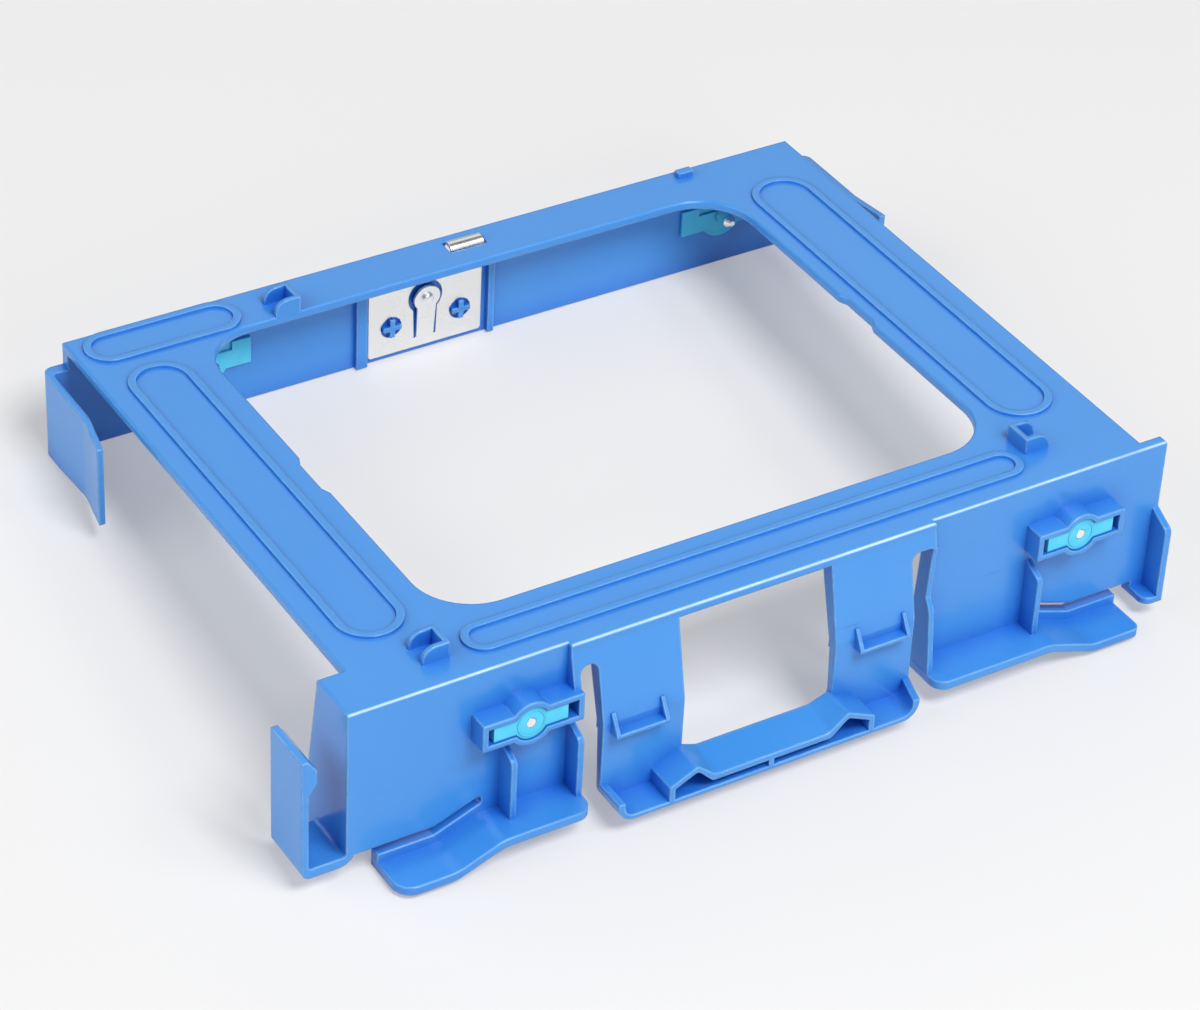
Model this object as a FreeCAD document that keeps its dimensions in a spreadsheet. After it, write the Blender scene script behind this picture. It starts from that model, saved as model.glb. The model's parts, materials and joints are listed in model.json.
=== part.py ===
import FreeCAD, Part
import math
import os
import re

import Sketcher
from FreeCAD import Vector

# Sizes in millimetres. x runs along the front wall, y from the front wall to the rear wall, z up.
# The origin is the middle of the plate, level with the undersides of the leaf feet.
# A drop is measured down from the top of the plate.
SIZES = {
    # plate and its window
    "plate_length": 140.8,
    "frame_depth": 107.0,
    "plate_top": 31.9,
    "plate_thick": 1.5,
    "wall_thick": 2.0,
    "edge_round": 0.4,
    "window_half": 51.1,
    "window_front": 39.5,
    "window_rear": 44.0,
    "window_round": 10.0,
    "notch_depth": 0.7,
    "notch_middle": 1.8,
    "notch_flat": 7.3,
    "notch_slope": 1.6,
    # front wall and the two leaf feet
    "left_tab": 4.5,
    "left_edge": 36.4,
    "left_foot_edge": 36.4,
    "left_bend_high": 51.9,
    "left_bend_low": 60.0,
    "left_leaf_end": 69.6,
    "left_outer_round": 3.2,
    "left_inner_round": 2.4,
    "right_tab": 4.1,
    "right_edge": 28.6,
    "right_foot_edge": 27.2,
    "right_bend_high": 49.7,
    "right_bend_low": 58.5,
    "right_leaf_end": 67.9,
    "right_outer_round": 1.4,
    "right_inner_round": 2.4,
    "flange_drop": 27.3,
    "flange_thick": 1.5,
    "flange_reach": 7.5,
    "leaf_step": 3.1,
    "upstand": 1.7,
    "leaf_gap": 1.7,
    "slot_end_round": 0.6,
    "bend_round": 6.0,
    # ribs of the front wall
    "rib_thick": 1.0,
    "rib_reach": 3.8,
    "slant_rib_knee_reach": 2.3,
    "slant_rib_reach": 4.3,
    "rib_top_drop": 14.5,
    "rib_knee_drop": 16.4,
    "rib_knee_round": 1.2,
    "left_rib": 49.0,
    "right_rib": 48.1,
    # grommet pockets, pin holes
    "pin_left": 45.6,
    "pin_spacing": 101.6,
    "pin_drop": 10.05,
    "pocket_half": 8.4,
    "pocket_extra": 0.65,
    "pocket_rise": 2.45,
    "pocket_bulge": 3.9,
    "pocket_rim": 0.9,
    "pocket_reach": 3.6,
    "core_hole": 2.4,
    # latch and its handle
    "latch_left": 33.2,
    "latch_right": 23.85,
    "latch_proud": 0.95,
    "latch_root_thick": 2.7,
    "latch_kink_drop": 15.0,
    "latch_kink_out": 3.9,
    "latch_kink_thick": 2.0,
    "latch_step_drop": 16.5,
    "latch_step": 0.35,
    "latch_foot_thick": 1.1,
    "latch_reach": 9.5,
    "strip_left": 37.65,
    "strip_drop": 7.6,
    "slot_drop": 4.2,
    "slot_round": 1.5,
    "latch_window_left": 18.7,
    "latch_window_right": 9.0,
    "latch_window_round": 3.0,
    "sill_step": 1.3,
    "handle_left": 24.05,
    "handle_right": 13.75,
    "ridge_left": 19.05,
    "ridge_right": 8.65,
    "dip_left": 15.75,
    "dip_right": 5.05,
    "ridge_drop": 24.35,
    "shoulder_drop": 26.8,
    "bar_back_drop": 25.6,
    "bar_front_drop": 27.2,
    "ridge_round": 0.9,
    "dip_round": 2.2,
    "handle_wall": 1.0,
    "hollow_depth": 4.2,
    "divider_middle": 5.45,
    "divider_thick": 0.9,
    "floor_drop": 30.2,
    "floor_thick": 0.75,
    "floor_taper": 1.6,
    "floor_outer_round": 3.0,
    "floor_inner_round": 2.0,
    "lip_thick": 1.2,
    "lip_drop": 26.7,
    # brackets on the latch arms
    "left_bracket": 31.8,
    "right_bracket": 12.6,
    "bracket_length": 9.4,
    "bracket_thick": 0.65,
    "bracket_top_drop": 13.2,
    "bracket_bar_drop": 16.3,
    "bracket_reach": 5.8,
    # spring loop at the front left
    "end_wall_thick": 1.5,
    "end_wall_depth": 9.7,
    "end_wall_slant": 2.4,
    "end_wall_slant_drop": 16.6,
    "loop_gap": 6.3,
    "loop_leaf_thick": 1.15,
    "loop_top_drop": 6.3,
    "loop_bottom_drop": 28.65,
    "loop_bottom_thick": 1.7,
    "loop_depth": 9.9,
    "loop_outer_round": 1.6,
    "loop_inner_round": 0.7,
    "loop_root_round": 2.8,
    "bump_reach": 1.4,
    "bump_low_drop": 12.9,
    "bump_slope": 2.0,
    # rib and return at the right end of the front wall
    "end_rib_thick": 1.2,
    "end_rib_reach": 4.1,
    "end_rib_top_drop": 12.8,
    "end_rib_knee_drop": 15.0,
    "return_length": 3.7,
    "return_drop": 29.4,
    "return_thick": 1.2,
    "return_round": 1.8,
    # rear wall and its two hook leaves
    "rear_wall_drop": 20.3,
    "hook_top_drop": 4.2,
    "left_hook_clear": 3.9,
    "left_hook_flare": 1.8,
    "left_hook_end": 28.6,
    "right_hook_clear": 4.8,
    "right_hook_flare": 1.1,
    "right_hook_end": 29.8,
    "hook_thick": 1.1,
    "hook_bend": 37.5,
    "hook_rise": 1.35,
    "hook_rise_start": 47.5,
    "hook_corner_round": 1.8,
    "hook_bend_round": 8.0,
    # seat of the ground clip
    "clip_rib_reach": 1.0,
    "clip_rib_left": 17.5,
    "clip_rib_left_thick": 2.1,
    "clip_rib_right": 8.2,
    "clip_rib_right_thick": 1.2,
    "post_left": 10.6,
    "post_right": 2.8,
    "post_drop": 13.9,
    "post_reach": 1.1,
    "post_arm": 1.75,
    "post_web": 0.9,
    "tab_slot_left": 0.8,
    "tab_slot_right": 6.4,
    "tab_slot_depth": 3.3,
    # stadium beads on the plate
    "bead_width": 1.3,
    "bead_height": 0.45,
    "rear_bead_margin": 0.7,
    "rear_bead_width": 8.7,
    "rear_bead_side": 1.8,
    "rear_bead_end": 40.9,
    "left_bead_margin": 3.75,
    "left_bead_width": 11.2,
    "left_bead_front": 39.5,
    "left_bead_rear": 41.1,
    "front_bead_margin": 3.5,
    "front_bead_width": 7.0,
    "front_bead_left": 51.8,
    "front_bead_right": 50.1,
    "right_bead_margin": 4.4,
    "right_bead_width": 11.9,
    "right_bead_front": 37.5,
    "right_bead_rear": 43.3,
    # stops on the plate
    "stop_wall": 0.8,
    "stop_height": 2.8,
    "stop_round": 2.3,
    "stop_length": 4.6,
    "stop_width": 5.0,
    "rear_stop": 31.6,
    "left_stop": 55.0,
    "left_stop_margin": 5.2,
    "right_stop": 51.7,
    "right_stop_margin": 7.7,
    "stub_left": 46.4,
    "stub_length": 2.9,
    "stub_width": 1.5,
    "stub_margin": 1.2,
    "stub_height": 1.0,
    # rubber grommets
    "bar_half": 6.4,
    "bar_rise": 1.4,
    "disc_radius": 2.9,
    "bar_depth": 3.3,
    "core_clearance": 0.1,
    "pad_half": 8.2,
    "pad_rise": 2.5,
    "pad_disc": 4.3,
    "pad_thick": 0.6,
    "pad_recess_half": 4.7,
    "pad_recess_rise": 0.9,
    "pad_recess_depth": 0.4,
    # drive pins
    "pin_radius": 1.2,
    "shank_radius": 0.8,
    "pin_clearance": 0.05,
    "pin_grip": 3.6,
    "nose_length": 0.95,
    "nose_flat": 0.5,
    # ground clip
    "clip_left": 15.0,
    "clip_right": 7.0,
    "clip_top_drop": 1.8,
    "clip_low_drop": 19.3,
    "clip_thick": 0.5,
    "clip_corner_round": 0.6,
    "post_clearance": 0.25,
    "keyhole_middle": 4.0,
    "keyhole_drop": 9.5,
    "keyhole_radius": 3.3,
    "keyhole_neck": 2.4,
    "keyhole_foot": 2.15,
    "tongue_root_drop": 17.5,
    "tongue_neck": 1.8,
    "tongue_foot": 1.65,
    "tongue_length": 8.1,
    "tongue_head": 2.5,
    "tongue_tilt": 5.0,
    "tongue_lift": 0.05,
    "dimple_radius": 1.2,
    "dimple_height": 0.25,
    "finger_left": 0.4,
    "finger_right": 6.0,
    "finger_rise": 0.75,
    "finger_span": 2.9,
    "finger_front_drop": 0.9,
    "finger_round": 1.3,
}

doc = FreeCAD.newDocument("drive_caddy")
sheet = doc.addObject("Spreadsheet::Sheet", "sheet")
for row, (alias, number) in enumerate(SIZES.items(), 1):
    sheet.set(f"A{row}", alias)
    sheet.set(f"B{row}", str(number))
    sheet.setAlias(f"B{row}", alias)
doc.recompute()

WORD = re.compile(r"[a-z][a-z_]+")

# planes of the frame, as expressions
TOP = "plate_top"
UNDER = "(plate_top - plate_thick)"
HALF = "(plate_length / 2)"
FRONT = "(frame_depth / 2)"
REAR = "(frame_depth / 2)"
LEFT_END = "(plate_length / 2 + left_tab)"
RIGHT_END = "(plate_length / 2 + right_tab)"
LOOP_OUTER = "(plate_length / 2 + left_tab + loop_gap + loop_leaf_thick)"
RIGHT_HOOK_END = "(plate_length / 2 + right_hook_clear + right_hook_flare)"
PIN_LEFT = "-pin_left"
PIN_RIGHT = "(pin_spacing - pin_left)"
PIN_HEIGHT = "(plate_top - pin_drop)"


def bound(text):
    """The expression with every word naming a cell of the sheet."""
    return WORD.sub(lambda word: "sheet." + word.group(), text)


def size(text):
    """The present value of an expression."""
    return float(sheet.evalExpression(bound(text)))


def below(text):
    """The height that lies the given drop under the top of the plate."""
    return f"(plate_top - ({text}))"


def new_body(label):
    body = doc.addObject("PartDesign::Body", label)
    body.Label = label
    return body


def sketch_on(body, role, name, offset="0"):
    """A sketch on an origin plane of the body, moved along the normal of the plane.

    The normal of the XZ plane points to the front, that of the YZ plane to the right.
    """
    sketch = body.newObject("Sketcher::SketchObject", name)
    plane = next(item for item in body.Origin.OriginFeatures if item.Role == role)
    sketch.AttachmentSupport = [(plane, "")]
    sketch.MapMode = "FlatFace"
    sketch.setExpression("AttachmentOffset.Base.z", bound(offset))
    return sketch


def constrain(sketch, rows):
    """Add constraints, each with its terms and the expression that drives it, if any."""
    first = sketch.ConstraintCount
    sketch.addConstraint([Sketcher.Constraint(*terms) for terms, driver in rows])
    for step, (terms, driver) in enumerate(rows):
        if driver:
            sketch.setExpression(f"Constraints[{first + step}]", bound(driver))


def at(item, end, across, up):
    """Constraint rows that hold one point of an item at a place."""
    return [
        (("DistanceX", -1, 1, item, end, size(across)), across),
        (("DistanceY", -1, 1, item, end, size(up)), up),
    ]


def arc_between(centre, start, end):
    """An arc the short way round, and whether it runs from start to end."""
    first = math.atan2(start.y - centre.y, start.x - centre.x)
    last = math.atan2(end.y - centre.y, end.x - centre.x)
    forward = (last - first) % (2 * math.pi) < math.pi
    if not forward:
        first, last = last, first
    circle = Part.Circle(centre, Vector(0, 0, 1), (start - centre).Length)
    return Part.ArcOfCircle(circle, first, last), forward


def outline(sketch, corners):
    """A closed outline through corners (across, up) or, for a rounded one, (across, up, radius)."""
    places = [Vector(size(corner[0]), size(corner[1]), 0) for corner in corners]
    count = len(corners)
    leave = []
    reach = []
    arcs = []
    for index, corner in enumerate(corners):
        place = places[index]
        if len(corner) < 3:
            reach.append(place)
            leave.append(place)
            arcs.append(None)
            continue
        radius = size(corner[2])
        back = (places[index - 1] - place).normalize()
        ahead = (places[(index + 1) % count] - place).normalize()
        half = back.getAngle(ahead) / 2
        middle = (back + ahead).normalize()
        reach.append(place + back * (radius / math.tan(half)))
        leave.append(place + ahead * (radius / math.tan(half)))
        arcs.append(arc_between(place + middle * (radius / math.sin(half)), reach[index], leave[index]))
    lines = []
    for index in range(count):
        line = Part.LineSegment(leave[index], reach[(index + 1) % count])
        lines.append(sketch.addGeometry(line, False))
    rows = []
    for index, corner in enumerate(corners):
        before = lines[index - 1]
        after = lines[index]
        if arcs[index] is None:
            rows.append((("Coincident", before, 2, after, 1), None))
            rows += at(after, 1, corner[0], corner[1])
            continue
        shape, forward = arcs[index]
        arc = sketch.addGeometry(shape, False)
        point = sketch.addGeometry(Part.Point(places[index]), True)
        rows.append((("Tangent", before, 2, arc, 1 if forward else 2), None))
        rows.append((("Tangent", arc, 2 if forward else 1, after, 1), None))
        rows.append((("Radius", arc, size(corner[2])), corner[2]))
        rows.append((("PointOnObject", point, 1, before), None))
        rows.append((("PointOnObject", point, 1, after), None))
        rows += at(point, 1, corner[0], corner[1])
    constrain(sketch, rows)


def box_outline(sketch, left, right, low, high):
    outline(sketch, [(left, low), (right, low), (right, high), (left, high)])


def circle(sketch, across, up, radius):
    item = sketch.addGeometry(
        Part.Circle(Vector(size(across), size(up), 0), Vector(0, 0, 1), size(radius)), False
    )
    constrain(sketch, at(item, 3, across, up) + [(("Radius", item, size(radius)), radius)])


def bar_and_disc(sketch, across, up, half, rise, radius, extra="0"):
    """A bar and a disc about one middle, drawn as one outline; the bar can be longer to the right."""
    left = f"{across} - ({half})"
    right = f"{across} + ({half}) + {extra}"
    low = f"{up} - ({rise})"
    high = f"{up} + ({rise})"
    middle = Vector(size(across), size(up), 0)
    chord = math.sqrt(size(radius) ** 2 - size(rise) ** 2)
    near = size(across) - chord
    far = size(across) + chord
    corners = [
        Vector(size(left), size(low), 0),
        Vector(near, size(low), 0),
        Vector(far, size(low), 0),
        Vector(size(right), size(low), 0),
        Vector(size(right), size(high), 0),
        Vector(far, size(high), 0),
        Vector(near, size(high), 0),
        Vector(size(left), size(high), 0),
    ]
    items = []
    for index, corner in enumerate(corners):
        end = corners[(index + 1) % len(corners)]
        if index in (1, 5):
            items.append(sketch.addGeometry(arc_between(middle, corner, end)[0], False))
        else:
            items.append(sketch.addGeometry(Part.LineSegment(corner, end), False))
    rows = []
    for index, item in enumerate(items):
        rows.append((("Coincident", items[index - 1], 2, item, 1), None))
    for index in (0, 2, 4, 6):
        rows.append((("Horizontal", items[index]), None))
    for index in (3, 7):
        rows.append((("Vertical", items[index]), None))
    for index in (1, 5):
        rows += at(items[index], 3, across, up)
        rows.append((("Radius", items[index], size(radius)), radius))
    rows += at(items[0], 1, left, low)
    rows += at(items[4], 1, right, high)
    rows.append((("DistanceY", -1, 1, items[3], 1, size(low)), low))
    rows.append((("DistanceY", -1, 1, items[7], 1, size(high)), high))
    constrain(sketch, rows)


def stadium(sketch, left, right, front, rear, along, inset):
    """A full-round slot outline that fills the given box less an inset on every side."""
    if along == "x":
        half = f"(({rear}) - ({front})) / 2"
        middle = f"(({front}) + ({rear})) / 2"
        turn = -math.pi / 2
        ends = [(f"{right} - {half}", middle), (f"{left} + {half}", middle)]
    else:
        half = f"(({right}) - ({left})) / 2"
        middle = f"(({left}) + ({right})) / 2"
        turn = 0.0
        ends = [(middle, f"{rear} - {half}"), (middle, f"{front} + {half}")]
    radius = f"{half} - {inset}"
    arcs = []
    for step, (across, up) in enumerate(ends):
        centre = Vector(size(across), size(up), 0)
        start = turn + step * math.pi
        shape = Part.ArcOfCircle(Part.Circle(centre, Vector(0, 0, 1), size(radius)), start, start + math.pi)
        arcs.append(sketch.addGeometry(shape, False))
    rows = []
    for step, (across, up) in enumerate(ends):
        ahead = arcs[1 - step]
        shape = sketch.Geometry[arcs[step]]
        line = sketch.addGeometry(
            Part.LineSegment(shape.EndPoint, sketch.Geometry[ahead].StartPoint), False
        )
        rows.append((("Tangent", arcs[step], 2, line, 1), None))
        rows.append((("Tangent", line, 2, ahead, 1), None))
        rows += at(arcs[step], 3, across, up)
        rows.append((("Radius", arcs[step], size(radius)), radius))
    constrain(sketch, rows)


def pad(body, sketch, length, back=False):
    feature = body.newObject("PartDesign::Pad", sketch.Name + "_pad")
    feature.Profile = sketch
    feature.setExpression("Length", bound(length))
    feature.Reversed = back
    return feature


def cut(body, sketch, length, along=False):
    """A pocket against the normal of the sketch, or along it."""
    feature = body.newObject("PartDesign::Pocket", sketch.Name + "_cut")
    feature.Profile = sketch
    feature.setExpression("Length", bound(length))
    feature.Reversed = along
    return feature


def edges_where(shape, test):
    """Names of the edges all of whose vertices pass a test."""
    return [
        f"Edge{number}"
        for number, edge in enumerate(shape.Edges, 1)
        if all(test(vertex.Point) for vertex in edge.Vertexes)
    ]


def near(first, second):
    return abs(first - second) < 1e-4


def fillet(body, name, test, radius):
    """Round the edges of the body so far whose vertices pass a test."""
    doc.recompute()
    base = body.Tip
    feature = body.newObject("PartDesign::Fillet", name)
    feature.Base = (base, edges_where(base.Shape, test))
    feature.setExpression("Radius", bound(radius))
    return feature


def add_plate(body):
    """Plate with its window. The front edge steps out over the latch."""
    sketch = sketch_on(body, "XY_Plane", "plate", UNDER)
    outline(sketch, [
        (f"-{LEFT_END}", f"-{FRONT}"),
        ("-strip_left", f"-{FRONT}"),
        ("-strip_left", f"-{FRONT} - latch_proud"),
        ("right_edge", f"-{FRONT} - latch_proud"),
        ("right_edge", f"-{FRONT}"),
        (RIGHT_END, f"-{FRONT}"),
        (RIGHT_END, f"wall_thick - {FRONT}"),
        (HALF, f"wall_thick - {FRONT}"),
        (HALF, REAR),
        (f"-{HALF}", REAR),
        (f"-{HALF}", f"end_wall_depth - {FRONT}"),
        (f"-{LEFT_END}", f"end_wall_depth - {FRONT}"),
    ])
    notch_low = "notch_middle - notch_flat / 2"
    notch_high = "notch_middle + notch_flat / 2"
    outline(sketch, [
        ("-window_half", "-window_front", "window_round"),
        ("window_half", "-window_front", "window_round"),
        ("window_half", f"{notch_low} - notch_slope"),
        ("window_half + notch_depth", notch_low),
        ("window_half + notch_depth", notch_high),
        ("window_half", f"{notch_high} + notch_slope"),
        ("window_half", "window_rear", "window_round"),
        ("-window_half", "window_rear", "window_round"),
        ("-window_half", f"{notch_high} + notch_slope"),
        ("-window_half - notch_depth", notch_high),
        ("-window_half - notch_depth", notch_low),
        ("-window_half", f"{notch_low} - notch_slope"),
    ])
    pad(body, sketch, "plate_thick")
    fillet(body, "plate_round", lambda point: near(point.z, size(TOP)), "edge_round")


def add_front_section(body, side, sign, end, low_edge):
    """One half of the front wall, with the leaf foot that a diagonal slot frees from it."""
    foot_edge = f"{sign}{side}_foot_edge"
    high = f"{sign}{side}_bend_high"
    low = f"{sign}{side}_bend_low"
    leaf_end = f"{sign}{side}_leaf_end"
    flange_low = below("flange_drop + flange_thick")
    leaf_low = below("flange_drop + flange_thick + leaf_step")
    upstand_high = below("flange_drop - upstand")
    upstand_low = below("flange_drop + leaf_step - upstand")
    gap_high = below("flange_drop - upstand - leaf_gap")
    gap_low = below("flange_drop + leaf_step - upstand - leaf_gap")
    wall = sketch_on(body, "XZ_Plane", f"{side}_wall", FRONT)
    outline(wall, [
        (f"{sign}{side}_edge", UNDER),
        (f"{sign}{end}", UNDER),
        (f"{sign}{end}", gap_low),
        (low, gap_low),
        (high, gap_high, "slot_end_round"),
        (high, upstand_high, "slot_end_round"),
        (low, upstand_low),
        (leaf_end, upstand_low),
        (leaf_end, leaf_low),
        (low, leaf_low, "bend_round"),
        (high, flange_low, "bend_round"),
        (f"{sign}{low_edge}", flange_low),
    ])
    pad(body, wall, "wall_thick", back=True)
    flange = sketch_on(body, "XZ_Plane", f"{side}_flange", FRONT)
    outline(flange, [
        (foot_edge, below("flange_drop")),
        (high, below("flange_drop"), "bend_round"),
        (low, below("flange_drop + leaf_step"), "bend_round"),
        (leaf_end, below("flange_drop + leaf_step")),
        (leaf_end, leaf_low),
        (low, leaf_low, "bend_round"),
        (high, flange_low, "bend_round"),
        (foot_edge, flange_low),
    ])
    pad(body, flange, "flange_reach")
    rim = f"-{FRONT} - flange_reach"
    fillet(
        body,
        f"{side}_outer_corner",
        lambda point: near(point.x, size(leaf_end)) and near(point.y, size(rim)),
        f"{side}_outer_round",
    )
    fillet(
        body,
        f"{side}_inner_corner",
        lambda point: near(point.x, size(foot_edge)) and near(point.y, size(rim)),
        f"{side}_inner_round",
    )


def add_rib(body, name, left):
    """An upright rib on the front wall, standing on the flange."""
    sketch = sketch_on(body, "YZ_Plane", name, left)
    outline(sketch, [
        (f"-{FRONT}", below("rib_top_drop")),
        (f"-{FRONT} - rib_reach", below("rib_knee_drop"), "rib_knee_round"),
        (f"-{FRONT} - rib_reach", below("flange_drop")),
        (f"-{FRONT}", below("flange_drop")),
    ])
    pad(body, sketch, "rib_thick")


def slanted_edge(drop):
    """Place along x of the slanted edge of the right half of the front wall."""
    fall = f"({drop} - plate_thick) / (flange_drop + flange_thick - plate_thick)"
    return f"(right_edge - (right_edge - right_foot_edge) * {fall})"


def add_slanted_rib(body):
    """Rib along the slanted edge of the right half of the front wall: low beside the slot, then flared."""
    top = "(slot_drop + slot_round / 2)"
    strip = sketch_on(body, "XZ_Plane", "right_rib_inner", FRONT)
    outline(strip, [
        (slanted_edge(top), below(top)),
        (f"{slanted_edge(top)} + rib_thick", below(top)),
        (f"{slanted_edge('flange_drop')} + rib_thick", below("flange_drop")),
        (slanted_edge("flange_drop"), below("flange_drop")),
    ])
    pad(body, strip, "slant_rib_reach")
    taper = sketch_on(body, "YZ_Plane", "right_rib_taper", "right_foot_edge")
    outline(taper, [
        (f"-{FRONT} - latch_proud", below(top)),
        (f"-{FRONT} - latch_proud", below("rib_top_drop")),
        (f"-{FRONT} - slant_rib_knee_reach", below("rib_knee_drop"), "rib_knee_round"),
        (f"-{FRONT} - slant_rib_reach", below("flange_drop")),
        (f"-{FRONT} - slant_rib_reach", below(top)),
    ])
    cut(body, taper, "right_edge + rib_thick - right_foot_edge", along=True)


def add_latch(body):
    """Latch that leans out from the front edge of the plate, with two side slots and a window."""
    root = f"-{FRONT} - latch_proud"
    kink = f"-{FRONT} - latch_kink_out"
    lean = "(latch_kink_out - latch_proud) / (latch_kink_drop - plate_thick)"
    taper = "(latch_root_thick - latch_kink_thick) / (latch_kink_drop - plate_thick)"
    strip_fall = "(strip_drop - plate_thick)"
    strip_face = f"{root} - {lean} * {strip_fall}"
    strip = sketch_on(body, "YZ_Plane", "strip", "-strip_left")
    outline(strip, [
        (root, UNDER),
        (strip_face, below("strip_drop")),
        (f"{strip_face} + latch_root_thick - {taper} * {strip_fall}", below("strip_drop")),
        (f"{root} + latch_root_thick", UNDER),
    ])
    pad(body, strip, "strip_left + right_edge")
    slots = sketch_on(body, "XZ_Plane", "latch_slots", f"{FRONT} + latch_kink_out")
    beyond = below("strip_drop + wall_thick")
    for left, right in (("-left_edge", "-latch_left"), ("latch_right", "right_edge")):
        outline(slots, [
            (left, beyond),
            (right, beyond),
            (right, below("slot_drop"), "slot_round"),
            (left, below("slot_drop"), "slot_round"),
        ])
    cut(body, slots, "latch_kink_out + wall_thick")
    arms = sketch_on(body, "YZ_Plane", "arms", "-latch_left")
    outline(arms, [
        (root, UNDER),
        (kink, below("latch_kink_drop")),
        (kink, below("lip_drop")),
        (f"{kink} + latch_foot_thick", below("lip_drop")),
        (f"{kink} + latch_kink_thick - latch_step", below("latch_step_drop")),
        (f"{kink} + latch_kink_thick", below("latch_step_drop")),
        (f"{kink} + latch_kink_thick", below("latch_kink_drop")),
        (f"{root} + latch_root_thick", UNDER),
    ])
    pad(body, arms, "latch_left + latch_right")
    add_tray(body)
    window = sketch_on(body, "XZ_Plane", "latch_window", f"{FRONT} + latch_reach")
    sill = below("bar_back_drop + sill_step")
    outline(window, [
        ("-latch_window_left", sill, "latch_window_round"),
        ("latch_window_right", sill, "latch_window_round"),
        ("latch_window_right", UNDER),
        ("-latch_window_left", UNDER),
    ])
    cut(body, window, "latch_reach + wall_thick")
    add_handle(body)
    add_brackets(body)


def add_tray(body):
    """Floor of the latch with a lip curled up at each end, closed at the back, narrower at the front."""
    low = below("floor_drop")
    high = below("floor_drop - floor_thick")
    lip = below("lip_drop")
    closure = sketch_on(body, "XZ_Plane", "tray_closure", f"{FRONT} + latch_kink_out - latch_foot_thick")
    outline(closure, [
        ("-latch_left", lip),
        ("-latch_left", low, "floor_outer_round"),
        ("latch_right", low, "floor_outer_round"),
        ("latch_right", lip),
    ])
    pad(body, closure, "latch_foot_thick")
    ends = []
    for name, plane, right in (
        ("tray_back", f"{FRONT} + latch_kink_out", "latch_right"),
        ("tray_front", f"{FRONT} + latch_reach", "latch_right - floor_taper"),
    ):
        end = sketch_on(body, "XZ_Plane", name, plane)
        outline(end, [
            ("-latch_left", lip),
            ("-latch_left", low, "floor_outer_round"),
            (right, low, "floor_outer_round"),
            (right, lip),
            (f"{right} - lip_thick", lip),
            (f"{right} - lip_thick", high, "floor_inner_round"),
            ("lip_thick - latch_left", high, "floor_inner_round"),
            ("lip_thick - latch_left", lip),
        ])
        ends.append(end)
    loft = body.newObject("PartDesign::AdditiveLoft", "tray")
    loft.Profile = ends[0]
    loft.Sections = [ends[1]]
    loft.Ruled = True


def handle_corners(bar_drop):
    """Outline of the handle, seen from the front, with its floor inside the latch floor."""
    low = below("floor_drop - floor_thick / 2")
    return [
        ("-handle_left", low),
        ("-handle_left", below("shoulder_drop")),
        ("-ridge_left", below("ridge_drop"), "ridge_round"),
        ("-dip_left", below(bar_drop), "dip_round"),
        ("dip_right", below(bar_drop), "dip_round"),
        ("ridge_right", below("ridge_drop"), "ridge_round"),
        ("handle_right", below("shoulder_drop")),
        ("handle_right", low),
    ]


def add_handle(body):
    """Hollow handle, open to the front, with a tray that falls to the front between two ridges."""
    front = f"{FRONT} + latch_reach"
    floor = below("floor_drop - floor_thick")
    back_face = sketch_on(
        body, "XZ_Plane", "handle_back", f"{FRONT} + latch_kink_out - latch_foot_thick / 2"
    )
    outline(back_face, handle_corners("bar_back_drop"))
    front_face = sketch_on(body, "XZ_Plane", "handle_front", front)
    outline(front_face, handle_corners("bar_front_drop"))
    loft = body.newObject("PartDesign::AdditiveLoft", "handle")
    loft.Profile = back_face
    loft.Sections = [front_face]
    loft.Ruled = True
    hollow = sketch_on(body, "XZ_Plane", "handle_hollow", front)
    for side, inner, sign in (
        ("left", "divider_middle + divider_thick / 2", "-"),
        ("right", "divider_thick / 2 - divider_middle", ""),
    ):
        outline(hollow, [
            (f"{sign}(handle_{side} - handle_wall)", floor),
            (f"{sign}(handle_{side} - handle_wall)", below("shoulder_drop + handle_wall / 2")),
            (f"{sign}(ridge_{side})", below("ridge_drop + handle_wall"), "ridge_round"),
            (f"{sign}(dip_{side} + handle_wall / 2)", below("bar_front_drop + handle_wall"), "ridge_round"),
            (f"{sign}({inner})", below("bar_front_drop + handle_wall")),
            (f"{sign}({inner})", floor),
        ])
    cut(body, hollow, "hollow_depth")


def add_brackets(body):
    """A U-shaped bracket on each arm of the latch, open at the top, its sides tapered to the arm."""
    root = "latch_kink_thick / 2"
    brackets = sketch_on(body, "XZ_Plane", "brackets", f"{FRONT} + latch_kink_out - {root}")
    for left in ("-left_bracket", "right_bracket"):
        right = f"{left} + bracket_length"
        outline(brackets, [
            (left, below("bracket_top_drop")),
            (left, below("bracket_bar_drop + bracket_thick")),
            (right, below("bracket_bar_drop + bracket_thick")),
            (right, below("bracket_top_drop")),
            (f"{right} - bracket_thick", below("bracket_top_drop")),
            (f"{right} - bracket_thick", below("bracket_bar_drop")),
            (f"{left} + bracket_thick", below("bracket_bar_drop")),
            (f"{left} + bracket_thick", below("bracket_top_drop")),
        ])
    pad(body, brackets, f"bracket_reach - latch_kink_out + {root}")
    taper = sketch_on(body, "YZ_Plane", "bracket_taper", "-left_bracket")
    tip = f"-{FRONT} - bracket_reach"
    outline(taper, [
        (f"-{FRONT} - latch_kink_out", below("bracket_top_drop")),
        (tip, below("bracket_top_drop")),
        (tip, below("bracket_bar_drop")),
    ])
    cut(body, taper, "left_bracket + right_bracket + bracket_length", along=True)


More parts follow.
